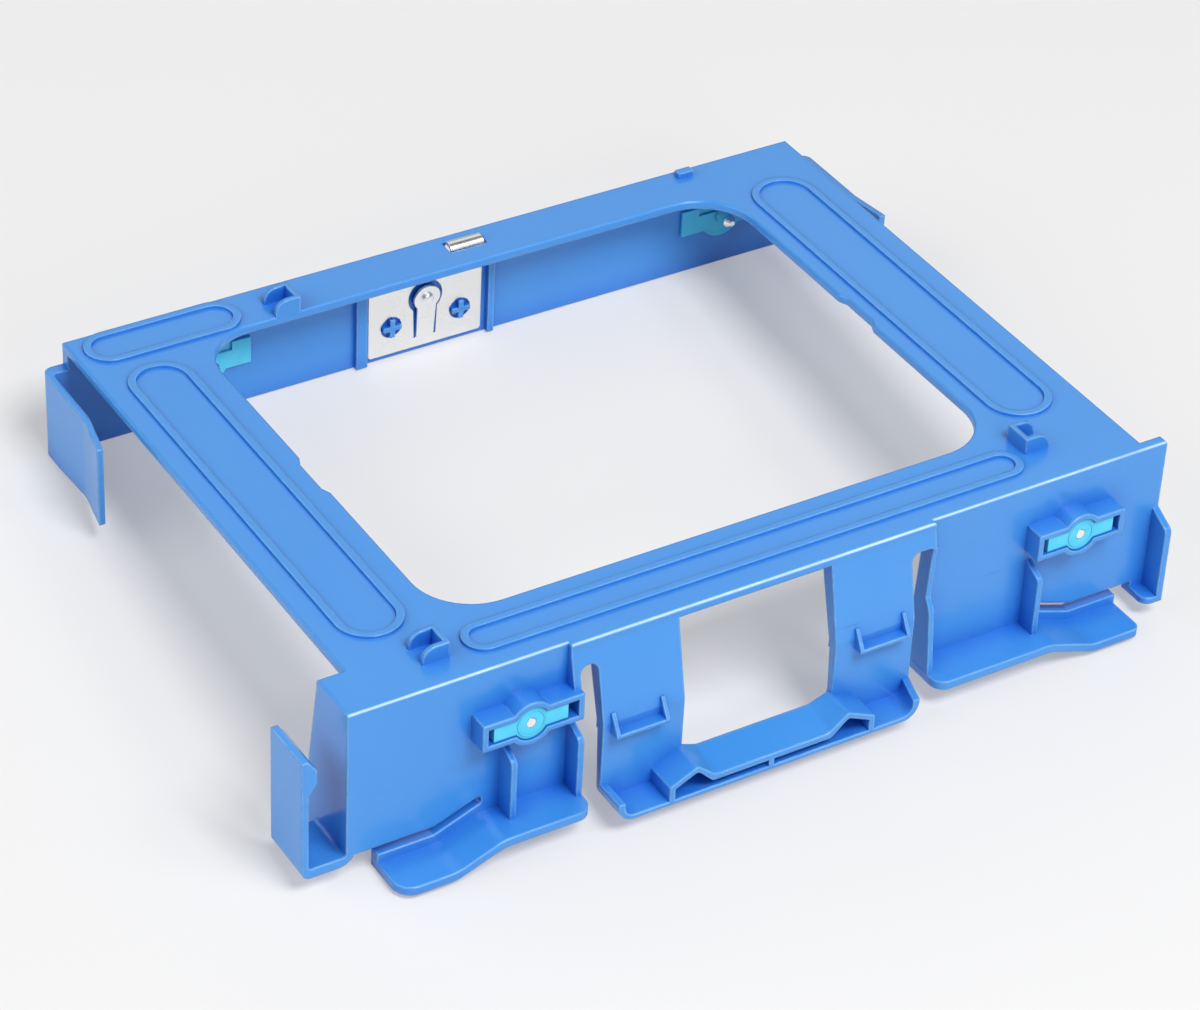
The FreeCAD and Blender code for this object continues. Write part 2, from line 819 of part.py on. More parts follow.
def add_spring_loop(body):
    """End wall at the front left and the U-shaped spring outside it."""
    wall = sketch_on(body, "YZ_Plane", "end_wall", f"-{LEFT_END}")
    low = below("loop_bottom_drop - loop_bottom_thick")
    outline(wall, [
        (f"-{FRONT}", UNDER),
        (f"end_wall_depth - {FRONT}", UNDER),
        (f"end_wall_depth + end_wall_slant - {FRONT}", below("end_wall_slant_drop")),
        (f"end_wall_depth + end_wall_slant - {FRONT}", below("loop_bottom_drop")),
        (f"loop_depth - {FRONT}", below("loop_bottom_drop")),
        (f"loop_depth - {FRONT}", low),
        (f"-{FRONT}", low),
    ])
    pad(body, wall, "end_wall_thick")
    loop = sketch_on(body, "XZ_Plane", "spring_loop", FRONT)
    inner = f"-({LEFT_END} + loop_gap)"
    root = below("loop_bottom_drop - loop_bottom_thick - loop_root_round")
    outline(loop, [
        (f"end_wall_thick - {LEFT_END}", root),
        (f"end_wall_thick - {LEFT_END}", below("loop_bottom_drop"), "loop_root_round"),
        (f"-{LOOP_OUTER}", below("loop_bottom_drop"), "loop_outer_round"),
        (f"-{LOOP_OUTER}", below("loop_top_drop")),
        (inner, below("loop_top_drop")),
        (f"{inner} + bump_reach", below("loop_top_drop + bump_slope")),
        (f"{inner} + bump_reach", below("bump_low_drop - bump_slope")),
        (inner, below("bump_low_drop")),
        (inner, low, "loop_inner_round"),
        (f"-{LEFT_END}", low, "loop_inner_round"),
        (f"-{LEFT_END}", root),
    ])
    pad(body, loop, "loop_depth", back=True)


def add_right_end(body):
    """Rib at the right end of the front wall and the short return at its foot."""
    step = sketch_on(body, "XZ_Plane", "right_end_step", FRONT)
    box_outline(
        step,
        f"{RIGHT_END} - return_length",
        RIGHT_END,
        below("return_drop"),
        below("flange_drop - upstand"),
    )
    pad(body, step, "wall_thick", back=True)
    rib = sketch_on(body, "YZ_Plane", "end_rib", f"{RIGHT_END} - end_rib_thick")
    outline(rib, [
        (f"-{FRONT}", below("end_rib_top_drop")),
        (f"-{FRONT} - end_rib_reach", below("end_rib_knee_drop"), "rib_knee_round"),
        (f"-{FRONT} - end_rib_reach", below("return_drop")),
        (f"-{FRONT}", below("return_drop")),
    ])
    pad(body, rib, "end_rib_thick")
    foot = sketch_on(body, "XY_Plane", "return_foot", below("return_drop"))
    outline(foot, [
        (f"{RIGHT_END} - return_length", f"-{FRONT}"),
        (f"{RIGHT_END} - return_length", f"-{FRONT} - end_rib_reach", "return_round"),
        (RIGHT_END, f"-{FRONT} - end_rib_reach"),
        (RIGHT_END, f"-{FRONT}"),
    ])
    pad(body, foot, "return_thick")


def add_rear_wall(body):
    """Rear wall with a hook leaf round each end, whose underside rises to the free end."""
    wall = sketch_on(body, "XZ_Plane", "rear_wall", f"-{REAR}")
    box_outline(wall, f"-{HALF}", HALF, below("rear_wall_drop"), UNDER)
    pad(body, wall, "wall_thick")
    hooks = sketch_on(body, "XY_Plane", "hooks", below("rear_wall_drop"))
    for side, sign in (("left", "-"), ("right", "")):
        out = f"{HALF} + {side}_hook_clear"
        tip = f"{out} + {side}_hook_flare"
        end = f"{side}_hook_end"
        outline(hooks, [
            (f"{sign}{HALF}", REAR),
            (f"{sign}({out})", REAR, "hook_corner_round"),
            (f"{sign}({out})", "hook_bend", "hook_bend_round"),
            (f"{sign}({tip})", end),
            (f"{sign}({tip} - hook_thick)", end),
            (f"{sign}({out} - hook_thick)", "hook_bend", "hook_bend_round"),
            (f"{sign}({out} - hook_thick)", f"{REAR} - wall_thick", "loop_inner_round"),
            (f"{sign}{HALF}", f"{REAR} - wall_thick"),
        ])
    pad(body, hooks, "rear_wall_drop - hook_top_drop")
    rise = sketch_on(body, "YZ_Plane", "hook_rise_wedge", RIGHT_HOOK_END)
    low = below("rear_wall_drop")
    outline(rise, [
        ("hook_rise_start", low),
        ("left_hook_end", f"{low} + hook_rise"),
        ("left_hook_end", low),
    ])
    cut(body, rise, f"2 * {RIGHT_HOOK_END}")


def add_clip_seat(body):
    """Slot in the plate, side ribs and cross-shaped posts that hold the ground clip."""
    slot = sketch_on(body, "XY_Plane", "tab_slot", TOP)
    box_outline(
        slot,
        "-tab_slot_left",
        "tab_slot_right",
        f"{REAR} - wall_thick - tab_slot_depth",
        f"{REAR} - wall_thick",
    )
    cut(body, slot, "plate_thick")
    inner = f"wall_thick - {REAR}"
    ribs = sketch_on(body, "XZ_Plane", "clip_ribs", inner)
    for left, width in (
        ("-clip_rib_left", "clip_rib_left_thick"),
        ("clip_rib_right", "clip_rib_right_thick"),
    ):
        box_outline(ribs, left, f"{left} + {width}", below("rear_wall_drop"), UNDER)
    pad(body, ribs, "clip_rib_reach")
    posts = sketch_on(body, "XZ_Plane", "clip_posts", inner)
    web = "post_web / 2"
    quarter = [(web, "post_arm"), (web, web), ("post_arm", web)]
    for middle in ("-post_left", "post_right"):
        corners = [(f"- {across}", f"- {up}") for across, up in reversed(quarter)]
        corners += [(f"+ {across}", f"- {up}") for across, up in quarter]
        corners += [(f"+ {across}", f"+ {up}") for across, up in reversed(quarter)]
        corners += [(f"- {across}", f"+ {up}") for across, up in quarter]
        outline(posts, [(f"{middle} {across}", f"{below('post_drop')} {up}") for across, up in corners])
    pad(body, posts, "post_reach")


def add_pockets(body):
    """Grommet pockets on the outer faces of both walls, with the hole for the core of the grommet."""
    for wall, outward in (("front", True), ("rear", False)):
        face = FRONT if outward else f"-{REAR}"
        mouth = f"{FRONT} + pocket_reach" if outward else f"-{REAR} - pocket_reach"
        shells = sketch_on(body, "XZ_Plane", f"{wall}_pockets", face)
        hollows = sketch_on(body, "XZ_Plane", f"{wall}_hollows", mouth)
        holes = sketch_on(body, "XZ_Plane", f"{wall}_holes", mouth)
        for across in (PIN_LEFT, PIN_RIGHT):
            extra = "pocket_extra" if outward and across == PIN_LEFT else "0"
            bar_and_disc(shells, across, PIN_HEIGHT, "pocket_half", "pocket_rise", "pocket_bulge", extra)
            bar_and_disc(
                hollows,
                across,
                PIN_HEIGHT,
                "pocket_half - pocket_rim",
                "pocket_rise - pocket_rim",
                "pocket_bulge - pocket_rim",
                extra,
            )
            circle(holes, across, PIN_HEIGHT, "core_hole")
        pad(body, shells, "pocket_reach", back=not outward)
        cut(body, hollows, "pocket_reach", along=not outward)
        cut(body, holes, "pocket_reach + wall_thick", along=not outward)


def add_beads(body):
    """Stadium beads on the top of the plate, each given by the box round it."""
    beads = sketch_on(body, "XY_Plane", "beads", TOP)
    rear = f"{REAR} - rear_bead_margin"
    left = f"left_bead_margin - {HALF}"
    front = f"front_bead_margin - {FRONT}"
    right = f"{HALF} - right_bead_margin"
    for box in (
        (f"rear_bead_side - {HALF}", "-rear_bead_end", f"{rear} - rear_bead_width", rear, "x"),
        (left, f"{left} + left_bead_width", "-left_bead_front", "left_bead_rear", "y"),
        ("-front_bead_left", "front_bead_right", front, f"{front} + front_bead_width", "x"),
        (f"{right} - right_bead_width", right, "-right_bead_front", "right_bead_rear", "y"),
    ):
        stadium(beads, *box, "0")
        stadium(beads, *box, "bead_width")
    pad(body, beads, "bead_height")


def add_stops(body):
    """U-shaped stops on the top of the plate; the open side of each is rounded down."""
    root = f"{TOP} - plate_thick / 2"
    for name, closed, sign, front in (
        ("rear_left_stop", "-rear_stop", "-", "window_rear"),
        ("front_left_stop", "-left_stop", "-", f"left_stop_margin - {FRONT}"),
        ("front_right_stop", "right_stop", "+", f"right_stop_margin - {FRONT}"),
    ):
        tip = f"{closed} {sign} stop_length"
        head = f"{TOP} + stop_height"
        block = sketch_on(body, "XZ_Plane", name, f"-({front})")
        outline(block, [(closed, root), (closed, head), (tip, head, "stop_round"), (tip, root)])
        pad(body, block, "stop_width", back=True)
        hollow = sketch_on(body, "XY_Plane", f"{name}_hollow", head)
        box_outline(
            hollow,
            f"{closed} {sign} stop_wall",
            f"{tip} {sign} stop_wall",
            f"{front} + stop_wall",
            f"{front} + stop_width - stop_wall",
        )
        cut(body, hollow, "stop_height")
    stub = sketch_on(body, "XY_Plane", "rear_right_stub", TOP)
    box_outline(
        stub,
        "stub_left",
        "stub_left + stub_length",
        f"{REAR} - stub_margin - stub_width",
        f"{REAR} - stub_margin",
    )
    pad(body, stub, "stub_height")


def make_frame():
    """The blue moulding, one piece."""
    body = new_body("frame")
    add_plate(body)
    add_stops(body)
    add_latch(body)
    add_front_section(body, "left", "-", LEFT_END, "left_edge")
    add_front_section(body, "right", "", RIGHT_END, "right_foot_edge")
    for name, left in (
        ("left_rib_inner", "-left_foot_edge - rib_thick"),
        ("left_rib_outer", "-left_rib"),
        ("right_rib_outer", "right_rib"),
    ):
        add_rib(body, name, left)
    add_slanted_rib(body)
    add_spring_loop(body)
    add_right_end(body)
    add_rear_wall(body)
    add_clip_seat(body)
    add_pockets(body)
    add_beads(body)
    return body


def make_grommet(wall, side, across, outward):
    """Rubber grommet: bar with a disc in the pocket, core through the wall, pad on the inner face."""
    body = new_body(f"grommet_{wall}_{side}")
    face = FRONT if outward else f"-{REAR}"
    inner = f"{FRONT} - wall_thick" if outward else f"wall_thick - {REAR}"
    mouth = f"{FRONT} + bar_depth" if outward else f"-{REAR} - bar_depth"
    seat = f"{FRONT} - wall_thick - pad_thick" if outward else f"wall_thick + pad_thick - {REAR}"
    bar = sketch_on(body, "XZ_Plane", f"{body.Name}_bar", face)
    bar_and_disc(bar, across, PIN_HEIGHT, "bar_half", "bar_rise", "disc_radius")
    pad(body, bar, "bar_depth", back=not outward)
    core = sketch_on(body, "XZ_Plane", f"{body.Name}_core", face)
    circle(core, across, PIN_HEIGHT, "core_hole - core_clearance")
    pad(body, core, "wall_thick", back=outward)
    rest = sketch_on(body, "XZ_Plane", f"{body.Name}_rest", inner)
    bar_and_disc(rest, across, PIN_HEIGHT, "pad_half", "pad_rise", "pad_disc")
    pad(body, rest, "pad_thick", back=outward)
    recess = sketch_on(body, "XZ_Plane", f"{body.Name}_recess", seat)
    box_outline(
        recess,
        f"{across} - pad_recess_half",
        f"{across} + pad_recess_half",
        f"{PIN_HEIGHT} + pad_recess_rise",
        f"{PIN_HEIGHT} + pad_disc",
    )
    cut(body, recess, "pad_recess_depth", along=outward)
    hole = sketch_on(body, "XZ_Plane", f"{body.Name}_hole", mouth)
    circle(hole, across, PIN_HEIGHT, "shank_radius + pin_clearance")
    cut(body, hole, "bar_depth + wall_thick + pad_thick", along=not outward)
    return body


def make_pin(wall, side, across, outward):
    """Steel pin: shank through the grommet, thicker end with a blunt nose towards the drive."""
    body = new_body(f"drive_pin_{wall}_{side}")
    sign = "-" if outward else ""
    turn = sketch_on(body, "XY_Plane", f"{body.Name}_half", PIN_HEIGHT)
    turn.setExpression("AttachmentOffset.Base.x", bound(across))
    outer = f"({FRONT} + bar_depth)"
    shoulder = f"({FRONT} - wall_thick - pad_thick)"
    tip = f"({FRONT} - wall_thick - pad_thick - pin_grip)"
    outline(turn, [
        ("0", f"{sign}{outer}"),
        ("shank_radius", f"{sign}{outer}"),
        ("shank_radius", f"{sign}{shoulder}"),
        ("pin_radius", f"{sign}{shoulder}"),
        ("pin_radius", f"{sign}({tip} + nose_length)"),
        ("nose_flat", f"{sign}{tip}"),
        ("0", f"{sign}{tip}"),
    ])
    feature = body.newObject("PartDesign::Revolution", f"{body.Name}_turned")
    feature.Profile = turn
    feature.ReferenceAxis = (turn, ["V_Axis"])
    feature.Angle = 360
    return body


def make_clip():
    """Sheet metal clip on the rear wall: two post holes, a bent tongue, a finger through the plate."""
    body = new_body("ground_clip")
    inner = f"wall_thick - {REAR}"
    sheet_front = f"wall_thick + clip_thick - {REAR}"
    plate = sketch_on(body, "XZ_Plane", "clip_plate", inner)
    outline(plate, [
        ("-clip_left", below("clip_low_drop"), "clip_corner_round"),
        ("clip_right", below("clip_low_drop"), "clip_corner_round"),
        ("clip_right", below("clip_top_drop"), "clip_corner_round"),
        ("-clip_left", below("clip_top_drop"), "clip_corner_round"),
    ])
    circle(plate, "-post_left", below("post_drop"), "post_arm + post_clearance")
    circle(plate, "post_right", below("post_drop"), "post_arm + post_clearance")
    pad(body, plate, "clip_thick")
    keyhole = sketch_on(body, "XZ_Plane", "keyhole", sheet_front)
    circle(keyhole, "-keyhole_middle", below("keyhole_drop"), "keyhole_radius")
    cut(body, keyhole, "clip_thick")
    neck = sketch_on(body, "XZ_Plane", "keyhole_slot", sheet_front)
    outline(neck, [
        ("-keyhole_middle - keyhole_foot", below("tongue_root_drop")),
        ("-keyhole_middle + keyhole_foot", below("tongue_root_drop")),
        ("-keyhole_middle + keyhole_neck", below("keyhole_drop")),
        ("-keyhole_middle - keyhole_neck", below("keyhole_drop")),
    ])
    cut(body, neck, "clip_thick")
    tongue = sketch_on(body, "XZ_Plane", "tongue")
    head = sketch_on(body, "XZ_Plane", "tongue_head_disc")
    dimple = sketch_on(body, "XZ_Plane", "tongue_dimple")
    for sketch in (tongue, head, dimple):
        sketch.AttachmentOffset = FreeCAD.Placement(Vector(), FreeCAD.Rotation(Vector(1, 0, 0), 1))
        sketch.setExpression("AttachmentOffset.Base.y", bound(below("tongue_root_drop")))
        sketch.setExpression("AttachmentOffset.Base.z", bound(f"{inner} + tongue_lift"))
        sketch.setExpression("AttachmentOffset.Rotation.Angle", bound("tongue_tilt"))
    outline(tongue, [
        ("-keyhole_middle - tongue_foot", "-clip_thick"),
        ("-keyhole_middle + tongue_foot", "-clip_thick"),
        ("-keyhole_middle + tongue_neck", "tongue_length - tongue_head / 2"),
        ("-keyhole_middle - tongue_neck", "tongue_length - tongue_head / 2"),
    ])
    circle(head, "-keyhole_middle", "tongue_length", "tongue_head")
    circle(dimple, "-keyhole_middle", "tongue_length", "dimple_radius")
    pad(body, tongue, "clip_thick")
    pad(body, head, "clip_thick")
    pad(body, dimple, "clip_thick + dimple_height")
    finger = sketch_on(body, "YZ_Plane", "finger", "-finger_left")
    back = f"{REAR} - wall_thick"
    front = f"{back} - finger_span"
    crest = f"{TOP} + finger_rise"
    inside = "finger_round - clip_thick"
    outline(finger, [
        (back, below("clip_top_drop + clip_thick")),
        (back, crest, "finger_round"),
        (front, crest, "finger_round"),
        (front, below("finger_front_drop")),
        (f"{front} + clip_thick", below("finger_front_drop")),
        (f"{front} + clip_thick", f"{crest} - clip_thick", inside),
        (f"{back} - clip_thick", f"{crest} - clip_thick", inside),
        (f"{back} - clip_thick", below("clip_top_drop + clip_thick")),
    ])
    pad(body, finger, "finger_left + finger_right")
    return body


def main():
    parts = [make_frame()]
    for wall, outward in (("front", True), ("rear", False)):
        for side, across in (("left", PIN_LEFT), ("right", PIN_RIGHT)):
            parts.append(make_grommet(wall, side, across, outward))
            parts.append(make_pin(wall, side, across, outward))
    parts.append(make_clip())
    for part in parts:
        part.setExpression("Placement.Base.x", bound(f"({LOOP_OUTER} - {RIGHT_HOOK_END}) / 2"))
        part.setExpression("Placement.Base.y", bound("(latch_reach - pocket_reach) / 2"))
    doc.recompute()
    for item in doc.Objects:
        if "Invalid" in item.State or "Error" in item.State:
            raise RuntimeError(f"{item.Name}: {item.State}")
    os.makedirs("parts", exist_ok=True)
    for part in parts:
        if part.Shape.isNull() or not part.Shape.isValid() or len(part.Shape.Solids) != 1:
            raise RuntimeError(f"{part.Label}: bad shape")
        part.Shape.exportStep(f"parts/{part.Label}.step")


main()
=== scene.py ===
"""Looks of the hard drive caddy: finishes, small rings and a dome, floor, light and camera."""

import json
import math

import bmesh
import bpy
from mathutils import Euler, Matrix, Vector


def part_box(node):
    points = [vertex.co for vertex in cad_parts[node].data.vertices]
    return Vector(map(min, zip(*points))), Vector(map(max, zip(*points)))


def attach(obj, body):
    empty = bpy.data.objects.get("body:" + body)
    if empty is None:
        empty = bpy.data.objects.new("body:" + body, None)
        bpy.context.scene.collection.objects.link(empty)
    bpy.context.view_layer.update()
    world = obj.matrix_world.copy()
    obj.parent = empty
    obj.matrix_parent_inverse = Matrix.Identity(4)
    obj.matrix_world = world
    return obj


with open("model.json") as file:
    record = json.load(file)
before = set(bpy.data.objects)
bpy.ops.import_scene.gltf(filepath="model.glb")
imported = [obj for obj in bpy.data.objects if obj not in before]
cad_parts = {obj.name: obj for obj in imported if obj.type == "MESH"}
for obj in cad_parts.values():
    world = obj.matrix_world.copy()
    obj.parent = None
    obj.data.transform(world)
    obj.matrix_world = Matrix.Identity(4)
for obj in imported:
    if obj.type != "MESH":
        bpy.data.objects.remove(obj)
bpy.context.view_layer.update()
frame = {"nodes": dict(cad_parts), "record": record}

MM = 0.001

# Camera, in the row frame
CAMERA_PLACE_MM = (-293.9, -461.3, 411.1)
CAMERA_TURN_DEG = (54.41, -2.75, -31.39)
SENSOR_WIDTH = 36.0
LENS = 123.99
SHIFT_X = -0.0344
SHIFT_Y = -0.0291
NEAREST_M = 0.01

# Colours, as linear values
PLASTIC_BLUE = (0.041, 0.248, 0.67)
# Pale colour for flow marks and worn edges, partly a painted highlight on the edges
PLASTIC_PALE_WEAR_AND_HIGHLIGHT = (0.26, 0.56, 0.92)
# Painted highlight colour for the top front edge
PLASTIC_PAINTED_HIGHLIGHT = (0.6, 0.83, 0.98)
PLASTIC_MARK = (0.03, 0.17, 0.52)
# Painted shade colour for inner corners
PLASTIC_PAINTED_SHADE = (0.01, 0.125, 0.58)
RUBBER_CYAN = (0.075, 0.55, 0.8)
RUBBER_PALE = (0.13, 0.66, 0.87)
# Painted shade colour for the rubber beside the ring and the pin
RUBBER_PAINTED_SHADE = (0.015, 0.24, 0.5)
STEEL = (0.98, 0.97, 0.94)
FLOOR_WHITE = (0.75, 0.75, 0.75)
FLOOR_LIFT = 0.36
BACKDROP_WHITE = (0.87, 0.865, 0.87)

# Finishes: rounding of outer edges, reach of the look-out for other faces nearby (for crisp inner corners
# and painted shade), height of fine relief
PLASTIC_ROUND_MM = 0.6
PLASTIC_CORNER_MM = 1.2
PLASTIC_SHADE_MM = 5.0
RUBBER_ROUND_MM = 0.2
RUBBER_SHADE_REACH_MM = 0.5
CLIP_ROUND_MM = 0.15
PIN_ROUND_MM = 0.1
GRAIN_MM = 0.02
DRAWN_LINE_MM = 0.01

# Moulded ring on the outer face of each grommet
RING_RADIUS_MM = 2.3
RING_HALF_WIDTH_MM = 0.16
RING_RISE_MM = 0.12
RING_SINK_MM = 0.02
RING_STEPS = 64
RING_SECTION_STEPS = 6

# Domed contact on the tongue of the ground clip, in the row frame, turned about X to stand on the tongue
CONTACT_PLACE_MM = (-0.975, 52.96, 22.4)
CONTACT_TURN_DEG = 95.0
CONTACT_RADIUS_MM = 1.1
CONTACT_RISE_MM = 0.45
CONTACT_STEPS = 40
CONTACT_ROWS = 8

# Edge between the plate and the front wall: where its painted highlight line begins and is full, and its
# direction
TOP_EDGE_Y_M = (-0.0495, -0.0505)
TOP_EDGE_Z_M = (0.0295, 0.0302)
UP_FRONT = (0.0, -0.707, 0.707)

# Floor
FLOOR_HALF_M = 0.9
FADE_START_M = 0.35
FADE_END_M = 0.8

# Soft boxes: name, place, width and height in metres, power in watts
LIGHT_TARGET_M = (0.0, 0.0, 0.02)
LIGHTS = (
    ("soft_box_front", (0.05, -1.2, 0.45), (0.8, 0.5), 4.2),
    ("soft_box_left", (-0.95, 0.2, 0.55), (1.3, 0.8), 7.5),
    ("soft_box_key", (0.1, -0.72, 1.12), (0.5, 0.5), 13.2),
    ("soft_box_right", (0.6, -0.75, 0.95), (0.3, 0.3), 2.3),
    ("soft_box_back", (0.6, 0.95, 0.85), (1.0, 0.7), 1.7),
)
WORLD_STRENGTH = 0.15


class Nodes:
    """A material's node tree, with short calls to add and join nodes."""

    def __init__(self, name):
        self.material = bpy.data.materials.new(name)
        self.material.use_nodes = True
        self.tree = self.material.node_tree
        self.shader = self.tree.nodes["Principled BSDF"]
        self.output = self.tree.nodes["Material Output"]

    def add(self, kind, **values):
        node = self.tree.nodes.new(kind)
        for key, value in values.items():
            setattr(node, key, value)
        return node

    def join(self, source, target):
        self.tree.links.new(source, target)

    def place(self):
        """Position on the piece, in metres of the row frame."""
        return self.add("ShaderNodeTexCoord").outputs["Object"]

    def stretch(self, source, factors):
        """The position with each axis multiplied, to draw a texture out along an axis."""
        node = self.add("ShaderNodeMapping")
        node.inputs["Scale"].default_value = factors
        self.join(source, node.inputs["Vector"])
        return node.outputs["Vector"]

    def noise(self, place, scale, detail=3.0, rough=0.55):
        node = self.add("ShaderNodeTexNoise")
        node.inputs["Scale"].default_value = scale
        node.inputs["Detail"].default_value = detail
        node.inputs["Roughness"].default_value = rough
        self.join(place, node.inputs["Vector"])
        return node.outputs["Fac"]

    def span(self, source, low, high, new_low, new_high):
        """Maps low..high of a value to new_low..new_high, held at both ends."""
        node = self.add("ShaderNodeMapRange")
        ends = {"From Min": low, "From Max": high, "To Min": new_low, "To Max": new_high}
        for key, value in ends.items():
            node.inputs[key].default_value = value
        self.join(source, node.inputs["Value"])
        return node.outputs["Result"]

    def math(self, operation, first, second):
        node = self.add("ShaderNodeMath", operation=operation)
        for socket, value in zip(node.inputs, (first, second)):
            if isinstance(value, (int, float)):
                socket.default_value = value
            else:
                self.join(value, socket)
        return node.outputs["Value"]

    def blend(self, factor, first, second):
        """Colour between two colours, each a tuple or a socket."""
        node = self.add("ShaderNodeMix", data_type="RGBA")
        self.join(factor, node.inputs["Factor"])
        for name, value in (("A", first), ("B", second)):
            socket = next(s for s in node.inputs if s.name == name and s.type == "RGBA")
            if isinstance(value, tuple):
                socket.default_value = (*value, 1.0)
            else:
                self.join(value, socket)
        return next(s for s in node.outputs if s.type == "RGBA")

    def bump(self, height, strength, distance, normal=None):
        node = self.add("ShaderNodeBump")
        node.inputs["Strength"].default_value = strength
        node.inputs["Distance"].default_value = distance
        self.join(height, node.inputs["Height"])
        if normal is not None:
            self.join(normal, node.inputs["Normal"])
        return node.outputs["Normal"]

    def round_edges(self, radius):
        """Normal that turns smoothly over sharp edges, and a mask that is 1 on those edges."""
        edge = self.add("ShaderNodeBevel", samples=6)
        edge.inputs["Radius"].default_value = radius
        flat = self.add("ShaderNodeNewGeometry")
        turn = self.add("ShaderNodeVectorMath", operation="DOT_PRODUCT")
        self.join(edge.outputs["Normal"], turn.inputs[0])
        self.join(flat.outputs["Normal"], turn.inputs[1])
        return edge.outputs["Normal"], self.span(turn.outputs["Value"], 0.995, 0.88, 0.0, 1.0)

    def axis(self, vector, name):
        """One of the three numbers of a vector."""
        node = self.add("ShaderNodeSeparateXYZ")
        self.join(vector, node.inputs["Vector"])
        return node.outputs[name]

    def faces_front(self):
        """1 on faces square to Y, 0 on the others."""
        turned = self.axis(self.add("ShaderNodeNewGeometry").outputs["Normal"], "Y")
        return self.span(self.math("MULTIPLY", turned, turned), 0.5, 0.8, 0.0, 1.0)

    def top_front_highlight(self, place, normal):
        """1 on the rounded edge between the plate and the front wall, where the painted highlight goes."""
        front = self.span(self.axis(place, "Y"), *TOP_EDGE_Y_M, 0.0, 1.0)
        top = self.span(self.axis(place, "Z"), *TOP_EDGE_Z_M, 0.0, 1.0)
        turned = self.span(self.along(normal, UP_FRONT), 0.85, 0.96, 0.0, 1.0)
        return self.math("MULTIPLY", turned, self.math("MULTIPLY", front, top))

    def openness(self, distance):
        """About 1 on open faces and outer edges, less in inner corners."""
        node = self.add("ShaderNodeAmbientOcclusion", samples=6)
        node.inputs["Distance"].default_value = distance
        return node.outputs["AO"]

    def crisp_corners(self, normal, share):
        """A rounded normal where share is 1, and the plain one where it is 0."""
        node = self.add("ShaderNodeMix", data_type="VECTOR")
        flat = self.add("ShaderNodeNewGeometry")
        self.join(share, node.inputs["Factor"])
        for name, source in (("A", flat.outputs["Normal"]), ("B", normal)):
            self.join(source, next(s for s in node.inputs if s.name == name and s.type == "VECTOR"))
        return next(s for s in node.outputs if s.type == "VECTOR")

    def along(self, normal, direction):
        """How far a normal points in a direction, 1 when fully."""
        node = self.add("ShaderNodeVectorMath", operation="DOT_PRODUCT")
        self.join(normal, node.inputs[0])
        node.inputs[1].default_value = direction
        return node.outputs["Value"]

    def fix(self, **values):
        """Sets sockets of the shader that are the same all over the piece."""
        for name, value in values.items():
            self.shader.inputs[name.replace("_", " ")].default_value = value


def frame_plastic():
    """Satin blue moulding: mould grain, flow marks, paler edges that are partly wear and partly a painted
    highlight, a painted highlight on the top front edge, and painted shade by inner corners.
    """
    nodes = Nodes("frame_plastic")
    place = nodes.place()
    normal, edges = nodes.round_edges(PLASTIC_ROUND_MM * MM)
    flow = nodes.noise(nodes.stretch(place, (1.0, 0.35, 0.6)), 28.0, 4.0)
    grain = nodes.noise(place, 2600.0, 2.0)
    rub = nodes.noise(nodes.stretch(place, (0.25, 1.0, 1.6)), 420.0, 3.0, 0.6)
    scratch = nodes.noise(nodes.stretch(place, (0.1, 1.0, 1.0)), 700.0, 2.0)
    tone = nodes.span(flow, 0.35, 0.7, 0.0, 0.06)
    clear = nodes.span(nodes.openness(PLASTIC_CORNER_MM * MM), 0.7, 0.92, 0.0, 1.0)
    normal = nodes.crisp_corners(normal, clear)
    outer = nodes.math("MULTIPLY", edges, clear)
    # Pale open edges: partly wear, partly a painted highlight
    worn_and_highlit = nodes.math("MULTIPLY", outer, nodes.span(rub, 0.3, 0.7, 0.35, 0.8))
    marks = nodes.math(
        "MULTIPLY", nodes.span(scratch, 0.68, 0.74, 0.0, 0.45), nodes.span(flow, 0.52, 0.6, 0.0, 1.0)
    )
    marks = nodes.math("MULTIPLY", marks, nodes.faces_front())
    colour = nodes.blend(nodes.math("MAXIMUM", tone, worn_and_highlit), PLASTIC_BLUE, PLASTIC_PALE_WEAR_AND_HIGHLIGHT)
    colour = nodes.blend(marks, colour, PLASTIC_MARK)
    # Painted highlight: a pale line along the top front edge, in place of a lamp's reflection
    painted_highlight = nodes.math("MULTIPLY", nodes.top_front_highlight(place, normal), nodes.span(rub, 0.3, 0.7, 0.5, 0.9))
    colour = nodes.blend(painted_highlight, colour, PLASTIC_PAINTED_HIGHLIGHT)
    # Painted shade: deeper blue near inner corners and faces close to other faces
    painted_shade = nodes.span(nodes.openness(PLASTIC_SHADE_MM * MM), 0.35, 0.95, 0.85, 0.0)
    painted_shade = nodes.math("MULTIPLY", painted_shade, nodes.math("SUBTRACT", 1.0, outer))
    colour = nodes.blend(painted_shade, colour, PLASTIC_PAINTED_SHADE)
    nodes.join(colour, nodes.shader.inputs["Base Color"])
    nodes.join(nodes.span(flow, 0.3, 0.7, 0.2, 0.27), nodes.shader.inputs["Roughness"])
    relief = nodes.math("ADD", nodes.math("MULTIPLY", grain, 0.5), nodes.math("MULTIPLY", rub, 0.5))
    nodes.join(nodes.bump(relief, 0.06, GRAIN_MM * MM, normal), nodes.shader.inputs["Normal"])
    nodes.fix(IOR=1.55)
    return nodes.material


